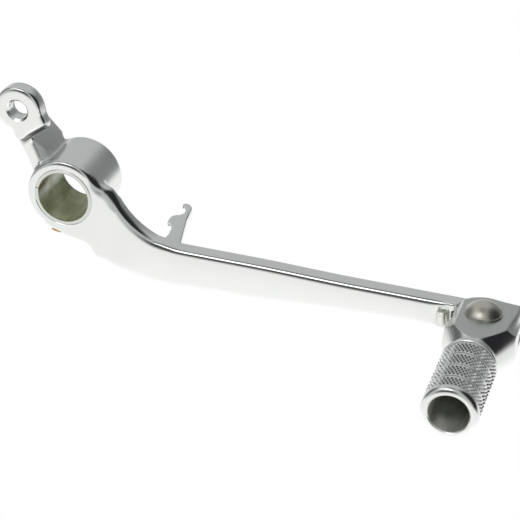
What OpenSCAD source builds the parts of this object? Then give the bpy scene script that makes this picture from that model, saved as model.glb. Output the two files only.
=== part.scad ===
/* [Pivot boss] */
// Outer radius of the pivot boss
boss_r = 16.1; // [14:0.1:20]
// Length of the boss along the pivot axis
boss_len = 26; // [18:0.5:40]
// Rounding of the boss front rim
boss_round = 1.5; // [0.5:0.1:3]
// Radius of the hole in the boss that holds the bush
boss_bore_r = 12.5; // [10:0.1:14]

/* [Pivot bush] */
// Inner radius of the bush
bush_r = 11; // [8:0.1:12]
// Inner lead chamfer of the bush
bush_chamfer = 0.6; // [0.2:0.1:1.2]
// Width of the seam where the rolled bush closes
bush_seam = 0.3; // [0.1:0.05:1]

/* [Arm] */
// Depth of the arm plate, front to back
arm_back = 7.8; // [6:0.1:12]
// How far the arm's front face lies behind the boss face
arm_step = 0.6; // [0:0.1:1.5]
// Height of the arm's upper edge
arm_top = -15.9; // [-18:0.1:-12]
// Radius of the arm's concave upper curve
arm_curve_r = 34; // [20:0.5:60]
// Gap between the arm's hollow end and the hinge line
arm_end_r = 12.5; // [12.4:0.1:16]

/* [Rod ear] */
// Forward position of the ear hole
ear_x = -19.3; // [-30:0.1:-12]
// Height of the ear hole
ear_z = 36; // [28:0.1:45]
// Radius of the ear's round end
ear_r = 10; // [8:0.1:13]
// Depth of the ear plate
ear_depth = 6.5; // [4:0.1:9]
// Radius of the rod pin hole in the ear
ear_hole_r = 4; // [2.5:0.1:5]
// Width of the chamfer around the ear hole
ear_chamfer = 0.85; // [0.2:0.05:1.5]

/* [Stop lug] */
// Far end of the stop lug
lug_back = 25; // [12:0.5:26]
// Front face of the narrow neck
neck_front = 4; // [1:0.1:6]
// Run of the sloped wall from the ear down to the neck
neck_slope = 2; // [0.5:0.1:4]

/* [Spring tab] */
// Far end of the spring tab
tab_back = 28.5; // [18:0.5:36]
// Thickness of the spring tab
tab_thick = 3.6; // [2:0.1:6]
// Slope of the spring tab in degrees
tab_slope = 13; // [0:1:30]
// Radius of the two spring holes
tab_hole_r = 1.2; // [0.8:0.1:2]

/* [Toe hinge] */
// Forward position of the toe hinge
hinge_x = 178.3; // [160:0.1:190]
// Sideways position of the toe hinge
hinge_y = -4; // [-10:0.1:4]
// Radius of the eye at the end of the tongue
eye_r = 9; // [7:0.1:12]
// Underside of the tongue
tongue_bottom = -26; // [-28:0.1:-24]
// Upper side of the tongue
tongue_top = -19; // [-22:0.1:-17]
// Radius of the rivet shank
shank_r = 4; // [3:0.1:5]
// Running gap between shank and eye
shank_gap = 0.05; // [0.02:0.01:0.1]

/* [Toe peg] */
// Height of the peg axis
peg_z = -23.5; // [-28:0.1:-18]
// Half height of the fork block
block_half = 9.5; // [7:0.1:12]
// Half width of the fork block
block_wide = 14; // [11:0.1:16]
// How far the fork block stands forward of the hinge line
block_shift = 0.8; // [0:0.1:2]
// Bevel of the fork block's long edges
block_bevel = 3.9; // [1:0.1:6]
// Radius of the fork block's rear end
block_rear_r = 12; // [10:0.1:12.2]
// Height of the slot in the fork block
slot_gap = 7.4; // [7.2:0.1:9]
// Steepness of the cone between block and barrel
cone_slope = 0.56; // [0.2:0.02:1]
// Radius of the neck behind the barrel
neck_r = 9.3; // [8.5:0.1:11]
// Radius of the knurled barrel
barrel_r = 11.1; // [9:0.1:14]
// Where the knurled barrel starts
collar_y = -27.2; // [-35:0.1:-20]
// Where the knurled barrel ends
peg_end_y = -63.4; // [-90:0.1:-45]
// Rounding of the barrel's open end
end_round = 2.2; // [0.5:0.1:3]
// Distance between the ring grooves in the barrel
groove_step = 8.2; // [5:0.1:15]
// Radius of the hollow in the peg
hollow_r = 7.8; // [5:0.1:8.6]
// Depth of the hollow in the peg
hollow_depth = 33; // [10:0.5:40]

/* [Rivet and pin] */
// Radius of the rivet head
head_r = 7.2; // [5:0.1:9]
// Height of the rivet head
head_high = 3.8; // [2:0.1:6]
// Radius of the arm pin
pin_r = 2.25; // [1.5:0.05:3]
// Forward position of the arm pin
pin_x = 161.5; // [158:0.1:163]
// Sideways position of the arm pin
pin_y = 0.3; // [-0.5:0.1:2]
// Radius of the spring wire
wire_r = 0.55; // [0.4:0.05:0.8]

/* [Hidden] */
$fn = 96;
block_top = peg_z + block_half;
block_bottom = peg_z - block_half;
slot_mid = (tongue_top + tongue_bottom) / 2;
arm_end_x = hinge_x;
root_x = hinge_x - arm_end_r;
curve_x = 52;
curve_z = arm_top + arm_curve_r;
shelf_z = 6.4;
shelf_r = 3;
shelf_x = curve_x - sqrt((arm_curve_r + shelf_r) * (arm_curve_r + shelf_r) - (curve_z - shelf_z + shelf_r) * (curve_z - shelf_z + shelf_r));
shelf_mid = [shelf_x, shelf_z - shelf_r];
shelf_a = atan2(curve_z - shelf_mid[1], curve_x - shelf_x);
shelf_arc = [for (k = [0:8]) let (a = shelf_a + (90 - shelf_a) * k / 8) shelf_mid + (shelf_r + 0.01) * [cos(a), sin(a)]];
shelf_side = shelf_arc[0];
blend_r = 4;
blend_z = shelf_z + blend_r;
blend_x = sqrt((boss_r + blend_r) * (boss_r + blend_r) - blend_z * blend_z);
washer_high = 0.8;
pin_bottom = tongue_bottom + 0.6;
pin_long = 6.1;
coil_r = 6;
coil_turns = 2.5;
coil_pitch = 2 * wire_r + 0.1;
coil_bottom = tongue_top - 4.2;
pocket_r = 7.4;

function weave(a, b, c, d, t) = 0.5 * ((2 * b) + (c - a) * t + (2 * a - 5 * b + 4 * c - d) * t * t + (3 * b - a - 3 * c + d) * t * t * t);
function curve(p, n) = [for (i = [1:len(p) - 3]) for (k = [0:n - 1]) weave(p[i - 1], p[i], p[i + 1], p[i + 2], k / n)];

// lower edge of the arm from the boss to the toe
lower = [[-12, -10.8], [-8, -14.2], [0.5, -17.8], [9.9, -19.8], [13, -23.5], [15.9, -26.7], [21.9, -30.9],
  [35.2, -34.3], [46, -34.6], [70.7, -33.9], [84, -33.5], [117, -31.2],
  [144, -29.9], [arm_end_x, -28.6], [arm_end_x + 9, -28.2]];

// a flat shape drawn in length and height, standing between two depths
module slab(y0, y1) {
  translate([0, y1, 0]) rotate([90, 0, 0]) linear_extrude(y1 - y0) children();
}

// a turned shape along the pivot axis, starting at the front
module turned() {
  rotate([-90, 0, 0]) rotate_extrude() children();
}

module arm_shape() {
  difference() {
    union() {
      polygon(concat(curve(lower, 5), [[arm_end_x, -28.6], [arm_end_x, arm_top], [curve_x, arm_top],
        [curve_x, shelf_side[1]]], shelf_arc, [[0, shelf_z], [-8, -12]]));
      polygon([[0, 0], [blend_x, shelf_z - 1], [blend_x, blend_z], [blend_x, blend_z] * (boss_r - 0.5) / (boss_r + blend_r)]);
    }
    translate([curve_x, curve_z]) circle(arm_curve_r, $fn = 180);
    translate([blend_x, blend_z]) circle(blend_r + 0.03);
  }
}

module arm_plate() {
  difference() {
    union() {
      slab(arm_step, arm_back) arm_shape();
      slab(0, arm_step + 0.5) intersection() {
        arm_shape();
        polygon([[-20, -60], [13, -60], [18.8, 4], [18, 20], [-20, 20]]);
      }
    }
    // hollow end that the fork block turns in
    translate([hinge_x, hinge_y, -40]) cylinder(r = arm_end_r, h = 40);
  }
}

module boss() {
  turned() {
    translate([0, boss_round]) square([boss_r, boss_len - boss_round - 0.6]);
    square([boss_r - boss_round, boss_len]);
    translate([boss_r - boss_round, boss_round]) circle(boss_round, $fn = 32);
    polygon([[0, boss_len - 0.6], [boss_r, boss_len - 0.6], [boss_r - 0.6, boss_len], [0, boss_len]]);
  }
}

module ear_shape() {
  difference() {
    union() {
      translate([ear_x, ear_z]) circle(ear_r);
      polygon([[ear_x, ear_z], [-28.2, 31.4], [-24.8, 30.2], [-21.8, 26.2], [-19.3, 22.4], [-18.5, 20.65], [-7.1, 29.2], [-7.2, 31.4], [-8.9, 34.9], [-9.3, 37.3]]);
    }
  }
}

// lug section, reaching from the boss up behind the ear
lug_shape = [[-11, 6], [-14.7, 7], [-17.4, 13.8], [-21.1, 20.6], [-17.5, 24.7], [-10.3, 17.2], [-9.7, 15], [-8.5, 12.6], [-6, 8]];

module ear_and_lug() {
  difference() {
    union() {
      slab(0, ear_depth) ear_shape();
      slab(neck_front, lug_back) polygon(lug_shape);
      // web that carries the lug's sloped face down to the boss
      slab(10, lug_back - 3) polygon([[-10.3, 17.2], [-7.7, 14.4], [-9, 12], [-12, 14]]);
    }
    // sloped wall below the ear
    translate([-19.3, 0, 22.4]) rotate([0, 53.4, 0]) translate([0, 0, -12]) linear_extrude(34)
      polygon([[-neck_slope / neck_front, -1], [0, 0], [neck_slope, neck_front], [40, neck_front], [40, -1]]);
    // chamfer of the neck's forward edge
    translate([-15.9, neck_front, 20.7]) rotate([0, -24, 0]) rotate([0, 0, 45]) translate([-20, -40, -22]) cube([60, 40, 22]);
  }
}

module tab() {
  difference() {
    union() {
      translate([0, arm_back, -14.6]) rotate([tab_slope, 0, 0]) {
        translate([0, 0, -tab_thick / 2]) linear_extrude(tab_thick) polygon([[39.6, -2.5], [48.8, -2.5], [48.6, 4], [46.9, 14], [46.3, tab_back - arm_back - 2], [45, tab_back - arm_back],
          [41.8, tab_back - arm_back], [40.6, tab_back - arm_back - 2], [39.6, 5]]);
        translate([39.6, 2, 0]) cube([4.4, 3, tab_thick / 2 + 2.2]);
        translate([40.8, 14.5, 0]) cube([5.2, 4.2, tab_thick / 2 + 3.4]);
      }
    }
    slab(0, 18) translate([42, -9.9]) circle(tab_hole_r, $fn = 32);
    slab(18.2, 40) translate([43.4, -7.2]) circle(tab_hole_r, $fn = 32);
  }
}

function touch(px, py, s) = let (vx = px - hinge_x, vy = py - hinge_y, d = sqrt(vx * vx + vy * vy), a = atan2(vy, vx) + s * acos(eye_r / d))
  [hinge_x + eye_r * cos(a), hinge_y + eye_r * sin(a)];

module tongue() {
  translate([0, 0, tongue_bottom]) linear_extrude(tongue_top - tongue_bottom) {
    translate([hinge_x, hinge_y]) circle(eye_r);
    polygon([[root_x - 12, arm_step], [root_x, arm_step], touch(root_x, arm_step, 1), [hinge_x, hinge_y], touch(root_x, arm_back, -1), [root_x, arm_back], [root_x - 12, arm_back]]);
  }
}

leg_a = 250;
leg_start = [hinge_x + coil_r * cos(leg_a), hinge_y + coil_r * sin(leg_a)];
leg_end = [root_x - 1.5, hinge_y + 7.3];
leg_long = norm(leg_end - leg_start);
leg_turn = atan2(leg_end[1] - leg_start[1], leg_end[0] - leg_start[0]);

module pedal_arm() {
  color([0.8, 0.81, 0.83]) difference() {
    union() {
      boss();
      arm_plate();
      ear_and_lug();
      tab();
      tongue();
    }
    // bore for the bush
    translate([0, -1, 0]) rotate([-90, 0, 0]) cylinder(r = boss_bore_r, h = boss_len + 2);
    // rod pin hole with its lead chamfer
    translate([ear_x, -1, ear_z]) rotate([-90, 0, 0]) cylinder(r = ear_hole_r, h = ear_depth + 2);
    translate([ear_x, -0.001, ear_z]) rotate([-90, 0, 0]) cylinder(r1 = ear_hole_r + ear_chamfer, r2 = ear_hole_r, h = ear_chamfer);
    // hinge eye and the pocket round it
    translate([hinge_x, hinge_y, tongue_bottom - 1]) cylinder(r = shank_r + shank_gap, h = 12);
    translate([hinge_x, hinge_y, coil_bottom - 0.3]) cylinder(r = pocket_r, h = 12);
    // way out of the pocket for the spring leg, ending in the arm
    translate([leg_start[0], leg_start[1], coil_bottom + 0.6]) rotate([0, 0, leg_turn]) translate([-2, -1, 0]) cube([leg_long + 2.4, 2, 3.8]);
    // seat of the pin
    translate([pin_x, pin_y, pin_bottom]) cylinder(r = pin_r, h = pin_long);
  }
}

module pivot_bush() {
  color([0.72, 0.66, 0.5]) difference() {
    turned() polygon([[bush_r, 0], [boss_bore_r - 0.2, 0], [boss_bore_r, 0.2],
      [boss_bore_r, boss_len - 0.2], [boss_bore_r - 0.2, boss_len], [bush_r + bush_chamfer, boss_len], [bush_r, boss_len - bush_chamfer]]);
    // seam of the rolled strip
    rotate([0, -(180 - 12), 0]) translate([bush_r - 0.5, -1, -bush_seam / 2]) cube([3, boss_len + 2, bush_seam]);
  }
}

module arm_pin() {
  color([0.8, 0.78, 0.68]) translate([pin_x, pin_y, pin_bottom]) union() {
    cylinder(r = pin_r, h = pin_long - 0.3);
    translate([0, 0, pin_long - 0.3]) cylinder(r1 = pin_r, r2 = pin_r - 0.3, h = 0.3);
  }
}

// round body along the peg axis, drawn as radius and distance forward
module peg_turned() {
  translate([hinge_x, 0, peg_z]) rotate([90, 0, 0]) rotate_extrude() children();
}

// radius of the turned neck at a distance forward of the pivot boss face
function neck_at(d) = neck_r + max(0, (-collar_y - 4.2 - d)) * cone_slope;

module peg_body() {
  side = block_wide - block_bevel;
  far = -hinge_y + 4;
  // where the round rear end runs into the side, clear of the arm when folded
  rear_side = [-(block_rear_r - 0.02) * cos(15), hinge_y - (block_rear_r - 0.02) * sin(15)];
  union() {
    intersection() {
      // fork block with bevelled long edges
      translate([hinge_x + block_shift, 0, 0]) rotate([90, 0, 0]) translate([0, 0, -20]) linear_extrude(60) polygon([
        [-block_wide, block_top - block_bevel], [-side, block_top], [side, block_top], [block_wide, block_top - block_bevel],
        [block_wide, block_bottom + block_bevel], [side, block_bottom], [-side, block_bottom], [-block_wide, block_bottom + block_bevel]]);
      // its rear end: round on the arm's side, with a corner on the free side
      translate([hinge_x, 0, block_bottom - 1]) linear_extrude(2 * block_half + 2) union() {
        translate([0, hinge_y]) circle(block_rear_r);
        polygon([rear_side, [-block_wide + block_shift, hinge_y - 6], [-block_wide + block_shift, collar_y], [block_wide + block_shift, collar_y],
          [block_wide + block_shift, hinge_y + 9], [11.2, hinge_y + 10.4], [3.4, hinge_y + 11.5], [0, hinge_y]]);
      }
      // the block's front is turned to a cone that ends in the neck
      peg_turned() polygon([[0, -12], [neck_at(-12), -12], [neck_r, -collar_y - 4.2], [neck_r, -collar_y + 1], [0, -collar_y + 1]]);
    }
    // barrel with ring grooves and a rounded open end
    difference() {
      peg_turned() {
        polygon([[0, -collar_y], [barrel_r - 0.7, -collar_y], [barrel_r - 0.1, -collar_y + 0.5], [barrel_r, -collar_y + 1.4], [barrel_r - 0.5, -collar_y + 1.7],
          [barrel_r - 0.5, -peg_end_y - end_round - 1.2], [barrel_r, -peg_end_y - end_round - 0.8], [barrel_r, -peg_end_y - end_round], [barrel_r - end_round, -peg_end_y - end_round],
          [barrel_r - end_round, -peg_end_y], [0, -peg_end_y]]);
        translate([barrel_r - end_round, -peg_end_y - end_round]) circle(end_round, $fn = 48);
      }
      for (k = [1:3]) peg_turned() translate([barrel_r - 0.75, -collar_y + 1.2 + k * groove_step]) square([2, 0.8]);
    }
  }
}

module toe_peg() {
  color([0.78, 0.78, 0.8]) difference() {
    peg_body();
    // hollow from the end
    peg_turned() polygon([[0, -peg_end_y - hollow_depth], [hollow_r - 0.5, -peg_end_y - hollow_depth], [hollow_r, -peg_end_y - hollow_depth + 0.5], [hollow_r, -peg_end_y - 0.4],
      [hollow_r + 0.41, -peg_end_y + 0.01], [0, -peg_end_y + 0.01]]);
    // slot for the tongue
    translate([hinge_x, hinge_y, slot_mid - slot_gap / 2]) linear_extrude(slot_gap) {
      circle(eye_r + 0.4);
      polygon([[-30, 20], [-30, -eye_r - 0.4], [0, -eye_r - 0.4], [0, 0], [30, 0], [30, 20]]);
    }
    // holes that grip the rivet shank
    translate([hinge_x, hinge_y, block_bottom - 1]) cylinder(r = shank_r, h = 2 * block_half + 2);
  }
}

module toe_rivet() {
  dome = (head_r * head_r + head_high * head_high) / (2 * head_high);
  color([0.7, 0.66, 0.62]) translate([hinge_x, hinge_y, 0]) union() {
    translate([0, 0, block_bottom - 1]) cylinder(r = shank_r, h = 2 * block_half + 1 + washer_high + 0.5);
    intersection() {
      translate([0, 0, block_top + washer_high + head_high - dome]) sphere(dome);
      translate([0, 0, block_top + washer_high]) cylinder(r = head_r, h = head_high + 1);
    }
    translate([0, 0, block_bottom - 1.8]) cylinder(r1 = 5, r2 = 6, h = 1.8);
  }
}

module rivet_washer() {
  color([0.74, 0.72, 0.68]) translate([hinge_x, hinge_y, block_top]) difference() {
    cylinder(r = head_r + 0.25, h = washer_high);
    translate([0, 0, -1]) cylinder(r = shank_r, h = 3);
  }
}

// spring path: coils round the rivet, then the leg to the pin
steps = 20;
coil = [for (i = [0:coil_turns * steps]) let (a = leg_a - (coil_turns * steps - i) * 360 / steps)
  [hinge_x + coil_r * cos(a), hinge_y + coil_r * sin(a), coil_bottom + wire_r + coil_pitch * i / steps]];
top_z = coil_bottom + wire_r + coil_pitch * coil_turns;
wire = concat(coil, [[(leg_start[0] + leg_end[0]) / 2, (leg_start[1] + leg_end[1]) / 2, top_z], [leg_end[0], leg_end[1], top_z]]);
function along(i) = let (p = wire[max(0, i - 1)], q = wire[min(len(wire) - 1, i + 1)], v = q - p) v / norm(v);
ring = 8;
wire_points = [for (i = [0:len(wire) - 1]) let (t = along(i), s = cross([0, 0, 1], t), u = s / norm(s), w = cross(t, u))
  for (k = [0:ring - 1]) wire[i] + wire_r * (cos(k * 360 / ring) * u + sin(k * 360 / ring) * w)];

module toe_spring() {
  n = len(wire);
  color([0.5, 0.5, 0.52]) polyhedron(points = wire_points, faces = concat(
    [[for (k = [0:ring - 1]) k]],
    [for (i = [0:n - 2]) for (k = [0:ring - 1]) [i * ring + k, (i + 1) * ring + k, (i + 1) * ring + (k + 1) % ring, i * ring + (k + 1) % ring]],
    [[for (k = [ring - 1:-1:0]) (n - 1) * ring + k]]));
}

pedal_arm();
pivot_bush();
arm_pin();
toe_peg();
toe_rivet();
rivet_washer();
toe_spring();
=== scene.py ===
import math
import bpy
import bmesh
import numpy as np
from mathutils import Matrix, Vector


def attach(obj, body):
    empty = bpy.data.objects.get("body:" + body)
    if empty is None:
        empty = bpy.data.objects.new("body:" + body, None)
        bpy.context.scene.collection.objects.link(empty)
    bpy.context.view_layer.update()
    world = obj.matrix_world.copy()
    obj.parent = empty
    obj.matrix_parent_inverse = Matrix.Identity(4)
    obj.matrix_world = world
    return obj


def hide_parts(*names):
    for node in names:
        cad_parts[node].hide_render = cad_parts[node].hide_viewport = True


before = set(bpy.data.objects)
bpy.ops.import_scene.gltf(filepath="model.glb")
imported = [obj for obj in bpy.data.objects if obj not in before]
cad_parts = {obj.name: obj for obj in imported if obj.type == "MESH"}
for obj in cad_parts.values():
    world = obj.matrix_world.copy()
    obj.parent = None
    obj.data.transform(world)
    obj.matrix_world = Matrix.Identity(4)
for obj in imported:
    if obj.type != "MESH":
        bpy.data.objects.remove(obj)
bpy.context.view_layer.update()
mm = 0.001


class Signal:  # one output socket, with the usual arithmetic
    def __init__(self, tree, socket):
        self.tree = tree
        self.socket = socket

    def math(self, kind, first, second):
        return addNode(self.tree, "ShaderNodeMath", {"operation": kind}, {0: first, 1: second})

    def __add__(self, other):
        return self.math("ADD", self, other)

    def __radd__(self, other):
        return self.math("ADD", other, self)

    def __sub__(self, other):
        return self.math("SUBTRACT", self, other)

    def __rsub__(self, other):
        return self.math("SUBTRACT", other, self)

    def __mul__(self, other):
        return self.math("MULTIPLY", self, other)

    def __rmul__(self, other):
        return self.math("MULTIPLY", other, self)

    def __truediv__(self, other):
        return self.math("DIVIDE", self, other)

    def __pow__(self, other):
        return self.math("POWER", self, other)

    def __mod__(self, other):
        return self.math("MODULO", self, other)

    def between(self, low, high):  # 0 below low, 1 above high, soft in between
        return addNode(self.tree, "ShaderNodeMapRange", {"interpolation_type": "SMOOTHSTEP"},
                       {"Value": self, "From Min": low, "From Max": high})

    def near(self, middle, width):  # 1 at the middle, 0 from the width on
        return 1 - self.math("ABSOLUTE", self - middle, 0.0).between(0.0, width)


def addNode(tree, kind, settings=None, sockets=None, output=0):
    node = tree.nodes.new(kind)
    for key, value in (settings or {}).items():
        setattr(node, key, value)
    for key, value in (sockets or {}).items():
        if isinstance(value, Signal):
            tree.links.new(value.socket, node.inputs[key])
        elif isinstance(value, tuple) and node.inputs[key].type == "RGBA":
            node.inputs[key].default_value = (*value, 1)
        else:
            node.inputs[key].default_value = value
    return Signal(tree, node.outputs[output])


def mixColour(amount, first, second):
    tree = next(value.tree for value in (amount, first, second) if isinstance(value, Signal))
    return addNode(tree, "ShaderNodeMix", {"data_type": "RGBA"}, {0: amount, 6: first, 7: second}, 2)


def objectPlace(tree):
    return addNode(tree, "ShaderNodeTexCoord", output="Object")


def inMillimetres(place):  # x, y and z of the shaded point
    return [addNode(place.tree, "ShaderNodeSeparateXYZ", sockets={0: place}, output=axis) * (1 / mm) for axis in "XYZ"]


def grain(place, scale, detail=2.0, stretch=(1, 1, 1)):
    stretched = addNode(place.tree, "ShaderNodeMapping", sockets={"Vector": place, "Scale": stretch})
    return addNode(place.tree, "ShaderNodeTexNoise", sockets={"Vector": stretched, "Scale": scale, "Detail": detail})


def newMaterial(name):
    material = bpy.data.materials.new(name)
    material.use_nodes = True
    return material, material.node_tree, material.node_tree.nodes["Principled BSDF"]


def feed(shader, **signals):
    for name, signal in signals.items():
        shader.id_data.links.new(signal.socket, shader.inputs[name.replace("_", " ")])


def bump(height, depth):
    return addNode(height.tree, "ShaderNodeBump", sockets={"Height": height, "Strength": 1.0, "Distance": depth * mm})


# worn metals: soft changes in gloss, faint waves, some stain
looks = {
    "polishedAlloy": {"colour": (0.87, 0.88, 0.87), "stain": (0.66, 0.68, 0.67), "stainAmount": 0.2,
                      "roughness": 0.17, "wave": 0.04, "paintedShadeColour": (0.14, 0.145, 0.135)},
    "turnedAlloy": {"colour": (0.86, 0.87, 0.86), "stain": (0.55, 0.57, 0.54), "stainAmount": 0.25,
                    "roughness": 0.2, "wave": 0.03, "paintedShadeColour": (0.6, 0.625, 0.615)},
    "rivetSteel": {"colour": (0.7, 0.69, 0.62), "stain": (0.4, 0.38, 0.3), "stainAmount": 0.45,
                   "roughness": 0.34, "wave": 0.06},
    "pinSteel": {"colour": (0.86, 0.87, 0.8), "stain": (0.5, 0.52, 0.46), "stainAmount": 0.5,
                 "roughness": 0.35, "wave": 0.06, "stainScale": 400},
    "wireSteel": {"colour": (0.4, 0.4, 0.42), "stain": (0.2, 0.2, 0.2), "stainAmount": 0.3,
                  "roughness": 0.4, "wave": 0.03},
}
metalGrain = {"cloud": 60, "fine": 900, "stain": 35, "stainDetail": 3.0, "stainEdge": (0.5, 0.8),
              "cloudGloss": 0.08, "fineGloss": 0.04, "fineWave": 0.05, "dullLoss": 1.3}


def wornMetal(name, look, zones=None):  # zones gives two signals, where painted shade darkens the metal's colour and what dulls it
    material, tree, shader = newMaterial(name)
    place = objectPlace(tree)
    shader.inputs["Metallic"].default_value = 1.0
    cloud, fine = grain(place, metalGrain["cloud"]), grain(place, metalGrain["fine"])
    stain = grain(place, look.get("stainScale", metalGrain["stain"]), metalGrain["stainDetail"])
    stained = stain.between(*metalGrain["stainEdge"]) * look["stainAmount"]
    colour = mixColour(stained, look["colour"], look["stain"])
    roughness = look["roughness"] + (cloud - 0.5) * metalGrain["cloudGloss"] + (fine - 0.5) * metalGrain["fineGloss"]
    if zones:
        dark, dull = zones(*inMillimetres(place))
        # painted shade: within the zone the colour is mixed towards a darker one
        colour = mixColour(dark, colour, look["paintedShadeColour"])
        roughness = roughness + dull
        feed(shader, Metallic=1 - dull * metalGrain["dullLoss"])
    feed(shader, Roughness=roughness, Base_Color=colour, Normal=bump(cloud + fine * metalGrain["fineWave"], look["wave"]))
    return material


# the arm: painted shade, a dark reflection painted into the colour of the sloping hollow under the ear, and the stop
# lug behind it, which isn't polished
underEarShade = {"level": 20.6, "across": 19.3, "slope": 0.748, "low": (-2.6, -1.8), "high": (2, 2.8),
         "front": (0.12, 0.5), "back": (3.6, 4.2), "side": (-8.5, -7)}
lug = {"side": (-8, -6), "front": (4.6, 5.4), "foot": (8, 10), "dull": 0.45}
# the fork block's flat top is milled, not polished, and its colour is darkened there as painted shade
blockTopMillAndShade = {"level": (-14.25, -14.1), "dull": 0.12}


def armZones(x, y, z):
    # the hollow mask is painted shade, a darker colour in the hollow under the ear
    below = z - underEarShade["level"] - (x + underEarShade["across"]) * underEarShade["slope"]
    strip = below.between(*underEarShade["low"]) * (1 - below.between(*underEarShade["high"]))
    hollow = strip * y.between(*underEarShade["front"]) * (1 - y.between(*underEarShade["back"])) * (1 - x.between(*underEarShade["side"]))
    rough = (1 - x.between(*lug["side"])) * y.between(*lug["front"]) * z.between(*lug["foot"])
    return hollow, rough * lug["dull"]


def pegZones(x, y, z):
    # the top's colour is darkened as painted shade, and its gloss is dulled as milled metal is
    top = z.between(*blockTopMillAndShade["level"])
    return top, top * blockTopMillAndShade["dull"]


zones = {"polishedAlloy": armZones, "turnedAlloy": pegZones}
metals = {name: wornMetal(name, look, zones.get(name)) for name, look in looks.items()}
print("metals made")


def paint(obj, material):
    obj.data.materials.clear()
    obj.data.materials.append(material)
    obj.data.polygons.foreach_set("material_index", [0] * len(obj.data.polygons))


def finish(obj, material, sharpFrom=38):  # smooth shading, with edges above this angle kept sharp
    paint(obj, material)
    obj.data.polygons.foreach_set("use_smooth", [True] * len(obj.data.polygons))
    obj.data.set_sharp_from_angle(angle=math.radians(sharpFrom))
    print(obj.name, len(obj.data.polygons), "faces")


def linkNew(name, data):
    obj = bpy.data.objects.new(name, data)
    bpy.context.scene.collection.objects.link(obj)
    return obj


def objectOf(name, mesh):
    data = bpy.data.meshes.new(name)
    mesh.to_mesh(data)
    mesh.free()
    return linkNew(name, data)


def bakeModifiers(obj):  # the evaluated shape becomes the object's own mesh
    mesh = bpy.data.meshes.new_from_object(obj.evaluated_get(bpy.context.evaluated_depsgraph_get()))
    obj.modifiers.clear()
    obj.data = mesh


def turnInto(mesh, profile, centre, count=96):  # profile points are radius and depth, the first and last on the axis
    turns = [2 * math.pi * k / count for k in range(count)]
    rings = []
    for radius, depth in profile:
        around = [0] if radius == 0 else turns
        rings.append([mesh.verts.new(((centre[0] + radius * math.sin(a)) * mm, depth * mm,
                                      (centre[1] + radius * math.cos(a)) * mm)) for a in around])
    for low, high in zip(rings, rings[1:]):
        for k in range(count):
            corners = [low[k % len(low)], low[(k + 1) % len(low)], high[(k + 1) % len(high)], high[k % len(high)]]
            mesh.faces.new(list(dict.fromkeys(corners)))


def turnedObject(name, profile, centre, count):
    mesh = bmesh.new()
    turnInto(mesh, profile, centre, count)
    bmesh.ops.recalc_face_normals(mesh, faces=mesh.faces)
    return objectOf(name, mesh)


def readSpots(mesh):  # one row of x, y, z in millimetres per point
    spots = np.empty(len(mesh.vertices) * 3)
    mesh.vertices.foreach_get("co", spots)
    return spots.reshape(-1, 3) / mm


def writeSpots(mesh, spots):
    mesh.vertices.foreach_set("co", (spots * mm).ravel())


def wearEdges(mesh, passes):  # each pass pulls the points of its zone towards their neighbours
    spots = readSpots(mesh)
    ends = np.empty(len(mesh.edges) * 2, dtype=int)
    mesh.edges.foreach_get("vertices", ends)
    first, second = ends.reshape(-1, 2).T
    degree = np.bincount(ends, minlength=len(spots))
    for rounds, zone in passes:
        share = 0.5 * zone(*spots.T)
        for _ in range(rounds):
            for axis in range(3):
                line = spots[:, axis]
                near = np.bincount(first, line[second], len(spots)) + np.bincount(second, line[first], len(spots))
                line += (near / degree - line) * share
    writeSpots(mesh, spots)


def cutAway(obj, cuts):  # each cut is a turned form along y
    for profile, centre in cuts:
        cutter = turnedObject("cutter", profile, centre, 192)
        cut = obj.modifiers.new("cut", "BOOLEAN")
        cut.operation = "DIFFERENCE"
        cut.solver = "EXACT"
        cut.object = cutter
        bakeModifiers(obj)
        bpy.data.objects.remove(cutter)


def soften(obj, shape):  # one closed skin, its edges worn round, bent where the shape says so, then thinned
    remesh = obj.modifiers.new("remesh", "REMESH")
    remesh.mode = "VOXEL"
    remesh.voxel_size = shape["voxel"] * mm
    bakeModifiers(obj)
    wearEdges(obj.data, shape["wear"])
    if "bend" in shape:
        spots = readSpots(obj.data)
        writeSpots(obj.data, spots + shape["bend"](*spots.T))
    thin = obj.modifiers.new("thin", "DECIMATE")
    thin.ratio = shape["keep"]
    bakeModifiers(obj)


def softCopy(node, name, shape, material):  # a copy of a CAD piece, worn as a polished forging is
    mesh = bmesh.new()
    mesh.from_mesh(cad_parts[node].data)
    bmesh.ops.remove_doubles(mesh, verts=mesh.verts, dist=0.002 * mm)
    for point, outwards in shape.get("planes", []):
        cut = bmesh.ops.bisect_plane(mesh, geom=mesh.verts[:] + mesh.edges[:] + mesh.faces[:],
                                     plane_co=Vector(point) * mm, plane_no=outwards, clear_outer=True)
        edges = [item for item in cut["geom_cut"] if isinstance(item, bmesh.types.BMEdge)]
        bmesh.ops.edgenet_fill(mesh, edges=edges)
    for centre, radius, front, back in shape.get("plugs", []):
        turnInto(mesh, [(0, front), (radius, front), (radius, back), (0, back)], centre)
    bmesh.ops.recalc_face_normals(mesh, faces=mesh.faces)
    obj = objectOf(name, mesh)
    cutAway(obj, shape.get("cutsBefore", []))
    soften(obj, shape)
    cutAway(obj, shape.get("cuts", []))
    finish(obj, material)
    return obj


def ramp(value, low, high):  # 0 below low, 1 above high
    share = np.clip((value - low) / (high - low), 0, 1)
    return share * share * (3 - 2 * share)


def fall(value, low, high):  # 1 below low, 0 above high
    return ramp(-value, -high, -low)


def everywhere(x, y, z):
    return np.ones_like(x)


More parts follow.
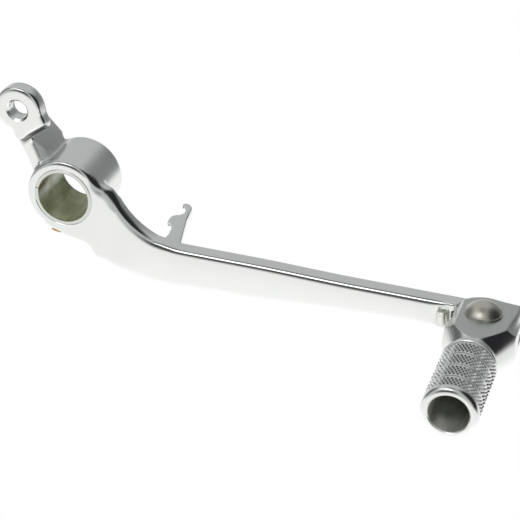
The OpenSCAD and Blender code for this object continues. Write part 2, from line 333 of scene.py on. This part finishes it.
# the front of the arm's plate is worn rounder than the rest, most of all where it runs into the boss,
# and it leans back towards the lower edge, as a forging's draft does
armFace = {"start": (14, 22), "end": (160.5, 163.5), "front": (3.4, 5.4), "top": -13, "rise": 24, "riseEnd": (20, 50)}
armRun = (26, 46)  # the concave run towards the boss
bossSide = {"centre": (17, 1, 5), "fade": (4, 10)}
earFace = {"side": (6, 9), "foot": (24, 27), "front": (2.5, 3.5)}
armDraft = {"lean": 0.9, "down": (17, 40), "start": (18, 40), "end": (150, 162), "front": (2, 4.5)}
armLift = {"lift": 0.7, "under": (-20, -17), "over": (-15, -13), "start": (36, 46), "end": (80, 125), "back": (8, 8.5)}


def armFront(x, y, z):
    top = armFace["top"] + armFace["rise"] * fall(x, *armFace["riseEnd"])
    return ramp(x, *armFace["start"]) * fall(x, *armFace["end"]) * fall(y, *armFace["front"]) * fall(z, top - 1, top)


def armBend(x, y, z):
    return armFront(x, y, z) * fall(x, *armRun)


def bossBlend(x, y, z):
    away = np.sqrt(sum((value - middle) ** 2 for value, middle in zip((x, y, z), bossSide["centre"])))
    return 1 - ramp(away, *bossSide["fade"])


def earFront(x, y, z):
    return ramp(-x, *earFace["side"]) * ramp(z, *earFace["foot"]) * fall(y, *earFace["front"])


def armLean(x, y, z):
    share = ramp(-z, *armDraft["down"]) * ramp(x, *armDraft["start"])
    share = share * fall(x, *armDraft["end"]) * fall(y, *armDraft["front"])
    height = ramp(z, *armLift["under"]) * fall(z, *armLift["over"])
    lift = armLift["lift"] * height * ramp(x, *armLift["start"]) * fall(x, *armLift["end"]) * fall(y, *armLift["back"])
    return np.stack((0 * x, armDraft["lean"] * share, lift), axis=1)


bore, earHole = (0, 0), (-19.3, 36)
armShape = {
    "voxel": 0.42, "keep": 0.42, "bend": armLean,
    "wear": [(9, everywhere), (100, armFront), (50, armBend), (220, bossBlend), (40, earFront)],
    "plugs": [(bore, 12.8, 0, 26), (earHole, 5.3, 0, 6.5)],
    "cutsBefore": [  # the spring tab comes off and is made by itself
        ([(0, 3), (33.95, 3), (33.95, 40), (0, 40)], (52, 18.1)),
        ([(0, 7.85), (12, 7.85), (12, 40), (0, 40)], (44.5, -14)),
    ],
    "cuts": [
        ([(0, -1), (12.75, -1), (12.75, 0.0), (12.5, 0.25), (12.5, 27), (0, 27)], bore),
        ([(0, -1), (4.9, -1), (4.9, 0.05), (4.05, 0.9), (4.05, 8), (0, 8)], earHole),
    ],
}
armPiece = softCopy("pedal_arm", "armSkin", armShape, metals["polishedAlloy"])
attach(armPiece, "arm")
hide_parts("pedal_arm")

# spring tab: a flat sloping plate with two hooks on its rear side, each a round notch under a round lobe; places
# on the plate are x and the way up its slope, arcs are centre, radius and the two angles they run between
tab = {
    "root": (7.8, -16.5), "slope": 20, "thick": 2.8, "foot": (39.6, 49.4, -4), "rise": (42.3, 3.4), "waist": (47.2, 12.6),
    "lowNotch": ((39.9, 6.4), 2.6, -20, 95), "lowLobe": ((43.3, 11.1), 3.6, 200, 93),
    "highNotch": ((42.5, 17.2), 2.55, -70, 85), "highLobe": ((44.5, 18.7), 2.85, 125, 0), "arcSteps": 8,
    "holes": [(40.6, 8.2), (43.1, 19.05)], "holeLift": 1.0, "holeRadius": 0.75, "holeReach": (-3, 1),
    "voxel": 0.24, "wear": [(8, everywhere)], "keep": 0.4,
}


def tabOutline(shape):
    rear, front, foot = shape["foot"]
    points = [(rear, foot), shape["rise"]]
    for name in ("lowNotch", "lowLobe", "highNotch", "highLobe"):
        centre, radius, start, stop = shape[name]
        turns = [math.radians(start + (stop - start) * k / shape["arcSteps"]) for k in range(shape["arcSteps"] + 1)]
        points += [(centre[0] + radius * math.cos(turn), centre[1] + radius * math.sin(turn)) for turn in turns]
    return points + [shape["waist"], (front, foot)]


def tabPlate(shape):
    mesh = bmesh.new()
    slope, half = math.radians(shape["slope"]), shape["thick"] / 2
    along, upward = Vector((0, math.cos(slope), math.sin(slope))), Vector((0, -math.sin(slope), math.cos(slope)))
    root = Vector((0, *shape["root"]))
    under, over = [[mesh.verts.new((root + Vector((x, 0, 0)) + along * far + upward * lift) * mm)
                    for x, far in tabOutline(shape)] for lift in (-half, half)]
    mesh.faces.new(under)
    mesh.faces.new(over)
    for k in range(len(under)):
        after = (k + 1) % len(under)
        mesh.faces.new([under[k], under[after], over[after], over[k]])
    bmesh.ops.recalc_face_normals(mesh, faces=mesh.faces)
    return objectOf("springTab", mesh)


def tabHoles(shape):
    slope, (rootY, rootZ) = math.radians(shape["slope"]), shape["root"]
    radius, (front, back) = shape["holeRadius"], shape["holeReach"]
    cuts = []
    for x, far in shape["holes"]:
        y, z = rootY + far * math.cos(slope), rootZ + far * math.sin(slope) + shape["holeLift"]
        cuts.append(([(0, y + front), (radius, y + front), (radius, y + back), (0, y + back)], (x, z)))
    return cuts


tabPiece = tabPlate(tab)
soften(tabPiece, tab)
cutAway(tabPiece, tabHoles(tab))
finish(tabPiece, metals["polishedAlloy"])
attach(tabPiece, "arm")

# a drop of hardened amber film on the boss's lower front edge
drop = {"centre": (-3.2, 0.35, -16.15), "half": (2.4, 0.5, 0.55), "lean": -0.17,
        "colour": (0.85, 0.42, 0.06), "shade": (0.6, 0.3, 0.05), "grain": 900, "roughness": 0.35}


def amberDrop(shape):
    mesh = bmesh.new()
    bmesh.ops.create_icosphere(mesh, subdivisions=3, radius=1)
    for vert in mesh.verts:
        x, y, z = (value * half for value, half in zip(vert.co, shape["half"]))
        vert.co = (Vector(shape["centre"]) + Vector((x, y, z + x * shape["lean"]))) * mm
    return objectOf("amberDrop", mesh)


def amberMaterial(look):
    material, tree, shader = newMaterial("amber")
    cloud = grain(objectPlace(tree), look["grain"])
    feed(shader, Base_Color=mixColour(cloud, look["colour"], look["shade"]))
    shader.inputs["Roughness"].default_value = look["roughness"]
    return material


dropPiece = amberDrop(drop)
finish(dropPiece, amberMaterial(drop))
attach(dropPiece, "arm")

# the fork block: one bevel cut by a plane on the arm's side, a steeper one bent on the free side
blockEdge = {"side": (186, 188.6), "top": (-18, -14.5), "along": (-15, 4), "shift": 1.8}


def blockBend(x, y, z):
    share = ramp(x, *blockEdge["side"]) * ramp(z, *blockEdge["top"]) * ramp(y, *blockEdge["along"])
    return np.stack((blockEdge["shift"] * share, 0 * x, 0 * x), axis=1)


pegShape = {
    "voxel": 0.34, "keep": 0.5, "bend": blockBend, "wear": [(3, everywhere)],
    "planes": [
        ((0, -27.1, 0), (0, -1, 0)),  # the barrel comes off and is made by itself
        ((169.2, 0, -14), (-1, 0, 1)),  # the bevel on the arm's side
    ],
}
pegPiece = softCopy("toe_peg", "pegSkin", pegShape, metals["turnedAlloy"])
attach(pegPiece, "peg")
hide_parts("toe_peg")
print("soft copies made")

# barrel of the peg, turned: neck in the block, collar, core under the knurl with its ring grooves, rounded end, hollow
barrel = {
    "x": 178.3, "z": -23.5, "count": 144, "radius": 11.1, "core": 10.6, "neck": 9.15, "neckLong": 2.2,
    "collar": -27.2, "collarRound": 0.6, "collarEdge": 0.75, "collarFoot": [(0, 1.2), (0.15, 1.4)], "collarWide": 1.6,
    "grooves": [-37.0, -45.2, -53.4], "grooveWide": 0.8, "grooveDeep": 0.35, "grooveSlant": 0.15,
    "end": -63.4, "round": 2.2, "lip": (1.2, 0.9), "mouth": 0.5, "bore": 7.8, "floor": -30.4, "floorDip": 0.2,
}


def arcPoints(radius, depth, size, start, stop, steps):
    turns = [math.radians(start + (stop - start) * k / steps) for k in range(steps + 1)]
    return [(radius + size * math.cos(turn), depth - size * math.sin(turn)) for turn in turns]


def barrelProfile(shape):
    outer, core, back, end = (shape[key] for key in ("radius", "core", "collar", "end"))
    neck, size, small = shape["neck"], shape["round"], shape["collarRound"]
    points = [(0, back + shape["neckLong"]), (neck, back + shape["neckLong"]), (neck, back)]
    points += [(outer - shape["collarEdge"], back)]
    points += arcPoints(outer - small, back - small, small, -80, 0, 4)
    points += [(outer - inwards, back - along) for inwards, along in shape["collarFoot"]]
    points += [(core, back - shape["collarWide"])]
    for groove in shape["grooves"]:
        half, deep, slant = shape["grooveWide"] / 2, core - shape["grooveDeep"], shape["grooveSlant"]
        points += [(core, groove + half), (deep, groove + half - slant)]
        points += [(deep, groove - half + slant), (core, groove - half)]
    points += [(core, end + size + shape["lip"][0]), (outer, end + size + shape["lip"][1])]
    points += arcPoints(outer - size, end + size, size, 0, 90, 12)
    points += [(shape["bore"] + shape["mouth"], end), (shape["bore"], end + shape["mouth"])]
    return points + [(shape["bore"], shape["floor"]), (0, shape["floor"] + shape["floorDip"])]


# the hollow is dull and stained, with a pale streak low at the left, running along the bore
hollowLook = {
    "dark": (0.3, 0.31, 0.27), "light": (0.6, 0.62, 0.56), "shadeEdge": (0.35, 0.7), "roughness": 0.42, "metal": 0.2,
    "edge": (0.05, 0.3), "grain": (180, 4.0, (1, 0.25, 1)), "wave": 0.03,
    "mark": (1.0, 0.96, 0.9), "markTurn": -2.72, "markWide": 0.6, "markEdge": (0.2, 0.45), "markDepth": (-52, -58),
}


def barrelMaterial(look, shape):
    material, tree, shader = newMaterial("barrelMetal")
    place = objectPlace(tree)
    x, y, z = inMillimetres(place)
    fromX, fromZ = x - shape["x"], z - shape["z"]
    radius = (fromX * fromX + fromZ * fromZ) ** 0.5
    inside = 1 - radius.between(*(shape["bore"] + edge for edge in look["edge"]))
    smear = grain(place, *look["grain"])
    turn = radius.math("ARCTAN2", fromX, fromZ)
    mark = turn.near(look["markTurn"], look["markWide"]) * smear.between(*look["markEdge"])
    mark = mark * y.between(*look["markDepth"])
    dull = mixColour(mark, mixColour(smear.between(*look["shadeEdge"]), look["dark"], look["light"]), look["mark"])
    alloy = looks["turnedAlloy"]
    cloud, fine = grain(place, metalGrain["cloud"]), grain(place, metalGrain["fine"])
    roughness = alloy["roughness"] + inside * (look["roughness"] - alloy["roughness"])
    roughness = roughness + (fine - 0.5) * metalGrain["fineGloss"]
    feed(shader, Base_Color=mixColour(inside, alloy["colour"], dull), Metallic=1 - inside * (1 - look["metal"]),
         Roughness=roughness, Normal=bump(cloud + smear * inside * 2, look["wave"]))
    return material


barrelPiece = turnedObject("barrel", barrelProfile(barrel), (barrel["x"], barrel["z"]), barrel["count"])
finish(barrelPiece, barrelMaterial(hollowLook, barrel), 30)
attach(barrelPiece, "peg")

# the knurl: rows of small worn diamonds round the barrel, in bands between the ring grooves
knurl = {"Around": 44, "Rows": 5, "Bands": 4, "Radius": 10.44, "Row step": 1.2, "Band step": 8.2, "Start": 30.45}
diamond = {"across": 0.76, "along": 1.12, "height": 0.64, "flat": 0.2}


def diamondStud(shape):
    across, along, flat = shape["across"], shape["along"], shape["flat"]
    low = [(across, 0), (0, along), (-across, 0), (0, -along)]
    points = [(a * mm, b * mm, 0) for a, b in low]
    points += [(a * flat * mm, b * flat * mm, shape["height"] * mm) for a, b in low]
    sides = [(k, (k + 1) % 4, (k + 1) % 4 + 4, k + 4) for k in range(4)]
    mesh = bpy.data.meshes.new("diamond")
    mesh.from_pydata(points, [], sides + [(4, 5, 6, 7)])
    return linkNew("diamond", mesh)


def knurlTree(stud, material):
    tree = bpy.data.node_groups.new("knurl", "GeometryNodeTree")
    tree.interface.new_socket("Geometry", in_out="OUTPUT", socket_type="NodeSocketGeometry")
    sockets = {name: tree.interface.new_socket(name, in_out="INPUT", socket_type="NodeSocketFloat") for name in knurl}
    entry = tree.nodes.new("NodeGroupInput")
    size = {name: Signal(tree, entry.outputs[name]) for name in knurl}
    points = addNode(tree, "GeometryNodePoints", sockets={"Count": size["Around"] * size["Rows"] * size["Bands"]})
    index = addNode(tree, "GeometryNodeInputIndex")
    column = index % size["Around"]
    rank = index.math("FLOOR", (index + 0.5) / size["Around"], 0.0)
    row = rank % size["Rows"]
    band = rank.math("FLOOR", (rank + 0.5) / size["Rows"], 0.0)
    turn = (column + 0.5 * (row % 2)) * (2 * math.pi) / size["Around"]
    sine, cosine = turn.math("SINE", turn, 0.0), turn.math("COSINE", turn, 0.0)
    place = addNode(tree, "ShaderNodeCombineXYZ", sockets={
        "X": (size["Radius"] * sine + barrel["x"]) * mm,
        "Y": (size["Start"] + band * size["Band step"] + row * size["Row step"]) * -mm,
        "Z": (size["Radius"] * cosine + barrel["z"]) * mm,
    })
    placed = addNode(tree, "GeometryNodeSetPosition", sockets={"Geometry": points, "Position": place})
    shape = addNode(tree, "GeometryNodeObjectInfo", sockets={"Object": stud}, output="Geometry")
    spin = addNode(tree, "ShaderNodeCombineXYZ", sockets={"Y": turn})
    many = addNode(tree, "GeometryNodeInstanceOnPoints", sockets={"Points": placed, "Instance": shape, "Rotation": spin})
    real = addNode(tree, "GeometryNodeRealizeInstances", sockets={0: many})
    painted = addNode(tree, "GeometryNodeSetMaterial", sockets={"Geometry": real, "Material": material})
    leave = tree.nodes.new("NodeGroupOutput")
    tree.links.new(painted.socket, leave.inputs[0])
    return tree, sockets


stud = diamondStud(diamond)
knurlPiece = linkNew("knurl", bpy.data.meshes.new("knurl"))
knurlGroup, knurlSockets = knurlTree(stud, metals["turnedAlloy"])
repeat = knurlPiece.modifiers.new("repeat", "NODES")
repeat.node_group = knurlGroup
for key, value in knurl.items():
    repeat[knurlSockets[key].identifier] = float(value)
bakeModifiers(knurlPiece)
bpy.data.objects.remove(stud)
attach(knurlPiece, "peg")
print("knurl", len(knurlPiece.data.polygons), "faces")

# the bush: a pale ring at its ends, old grease inside with a rusty patch and a whitish film
bushLook = {
    "ring": (0.72, 0.735, 0.7), "edge": (11.05, 11.25), "roughness": 0.3, "gloss": 0.3, "metal": 0.25, "wave": 0.1,
    "smear": (160, 4.0), "streak": (260, 3.0, (1, 0.2, 1)),
    "grease": (0.33, 0.36, 0.2), "paleGrease": (0.66, 0.68, 0.5), "greaseEdge": (0.4, 0.68),
    "rust": (0.25, 0.11, 0.06), "rustTurn": -1.35, "rustWide": 0.35, "rustDepth": (10, 6), "rustEdge": (0.45, 0.6),
    "film": (0.75, 0.77, 0.74), "filmTurn": -1.72, "filmWide": 0.3, "filmEdge": (0.3, 0.5),
}


def bushMaterial(look):
    material, tree, shader = newMaterial("bushMetal")
    place = objectPlace(tree)
    x, y, z = inMillimetres(place)
    radius = (x * x + z * z) ** 0.5
    inside = 1 - radius.between(*look["edge"])
    smear, streak = grain(place, *look["smear"]), grain(place, *look["streak"])
    grease = mixColour((smear * 0.5 + streak * 0.5).between(*look["greaseEdge"]), look["grease"], look["paleGrease"])
    turn = radius.math("ARCTAN2", x, z)
    film = turn.near(look["filmTurn"], look["filmWide"]) * smear.between(*look["filmEdge"])
    rust = turn.near(look["rustTurn"], look["rustWide"]) * y.between(*look["rustDepth"])
    rust = rust * streak.between(*look["rustEdge"])
    grease = mixColour(film, mixColour(rust, grease, look["rust"]), look["film"])
    feed(shader, Base_Color=mixColour(inside, look["ring"], grease), Metallic=1 - inside * (1 - look["metal"]),
         Roughness=look["roughness"] + (smear - 0.5) * look["gloss"], Normal=bump(smear, look["wave"]))
    return material


paint(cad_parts["pivot_bush"], bushMaterial(bushLook))
paint(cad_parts["arm_pin"], metals["pinSteel"])
paint(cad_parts["toe_rivet"], metals["rivetSteel"])
paint(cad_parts["rivet_washer"], metals["rivetSteel"])
paint(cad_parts["toe_spring"], metals["wireSteel"])
print("small pieces painted")

# camera: angles in degrees, focal length in pixels, and where the frame's origin lies from it, in millimetres
shot = {"azimuth": 16.54, "elevation": 30.05, "roll": 2.25, "focal": 1858, "pixels": 520,
        "shift": (-80.97, 25.63, -763.6), "sensor": 36, "clip": (0.01, 20)}


def placeCamera(shot):
    az, el, roll = (math.radians(shot[key]) for key in ("azimuth", "elevation", "roll"))
    back = Vector((math.sin(az) * math.cos(el), -math.cos(az) * math.cos(el), math.sin(el)))
    right = Vector((math.cos(az), math.sin(az), 0))
    up = back.cross(right)
    right, up = right * math.cos(roll) + up * math.sin(roll), up * math.cos(roll) - right * math.sin(roll)
    eye = -(right * shot["shift"][0] + up * shot["shift"][1] + back * shot["shift"][2]) * mm
    data = bpy.data.cameras.new("camera")
    data.sensor_width = shot["sensor"]
    data.lens = shot["sensor"] * shot["focal"] / shot["pixels"]
    data.clip_start, data.clip_end = shot["clip"]
    obj = linkNew("camera", data)
    rows = [(right[axis], up[axis], back[axis], eye[axis]) for axis in range(3)]
    obj.matrix_world = Matrix((*rows, (0, 0, 0, 1)))
    bpy.context.scene.camera = obj


placeCamera(shot)

# surroundings: a white table below, a grey room above, and soft patches, each with its azimuth from the front
# towards the toe, its elevation, the angles where it starts to fade and ends, and its brightness
surroundings = {
    "radius": 3, "around": 64, "rings": 32,
    "room": (0.5, 0.508, 0.505),
    "table": (0.95, 0.95, 0.945),
    "tableEdge": (-0.27, 0.0),
    "patches": [
        ("table near", 0, -90, 30, 62, (1.15, 1.15, 1.15)),
        ("dim horizon", 152, 11, 0, 32, (0.23, 0.24, 0.24)),
        ("pale floor left", -150, -9, 8, 18, (0.85, 0.85, 0.85)),
        ("dim front right", 68, 5, 10, 18, (0.07, 0.07, 0.07)),
        ("dim left wall", -100, 14, 14, 36, (0.13, 0.135, 0.135)),
        ("pale left ceiling", -105, 58, 6, 18, (0.65, 0.65, 0.65)),
        ("dark right wall", 95, 28, 30, 50, (0.02, 0.02, 0.022)),
        ("dim ceiling", -60, 84, 8, 22, (0.15, 0.155, 0.155)),
        ("dim front", -14, 22, 12, 30, (0.06, 0.06, 0.06)),
        ("lamp", -25, 56, 9, 18, (2.2, 2.2, 2.2)),
        ("lamp left", -55, 50, 6, 16, (1.2, 1.2, 1.2)),
    ],
}


def towards(azimuth, elevation):
    az, el = math.radians(azimuth), math.radians(elevation)
    return (math.sin(az) * math.cos(el), -math.cos(az) * math.cos(el), math.sin(el))


def studioDome(look):
    mesh = bmesh.new()
    bmesh.ops.create_uvsphere(mesh, u_segments=look["around"], v_segments=look["rings"], radius=look["radius"])
    obj = objectOf("surroundings", mesh)
    material = bpy.data.materials.new("surroundings")
    material.use_nodes = True
    tree = material.node_tree
    tree.nodes.clear()
    facing = addNode(tree, "ShaderNodeVectorMath", {"operation": "NORMALIZE"}, {0: objectPlace(tree)})
    height = addNode(tree, "ShaderNodeSeparateXYZ", sockets={0: facing}, output="Z")
    colour = mixColour(height.between(*look["tableEdge"]), look["table"], look["room"])
    for name, azimuth, elevation, inner, outer, tone in look["patches"]:
        closeness = addNode(tree, "ShaderNodeVectorMath", {"operation": "DOT_PRODUCT", "label": name},
                            {0: facing, 1: towards(azimuth, elevation)}, "Value")
        fade = closeness.between(math.cos(math.radians(outer)), math.cos(math.radians(inner)))
        colour = mixColour(fade, colour, tone)
    seen = addNode(tree, "ShaderNodeLightPath", output="Is Camera Ray")
    glow = addNode(tree, "ShaderNodeEmission", sockets={"Color": mixColour(seen, colour, (1.0, 1.0, 1.0))})
    tree.links.new(glow.socket, tree.nodes.new("ShaderNodeOutputMaterial").inputs["Surface"])
    obj.data.materials.append(material)


studioDome(surroundings)
world = bpy.data.worlds.new("world")
bpy.context.scene.world = world
world.use_nodes = True
world.node_tree.nodes["Background"].inputs["Color"].default_value = (0, 0, 0, 1)
bpy.context.scene.view_settings.view_transform = "Standard"
print("studio ready")
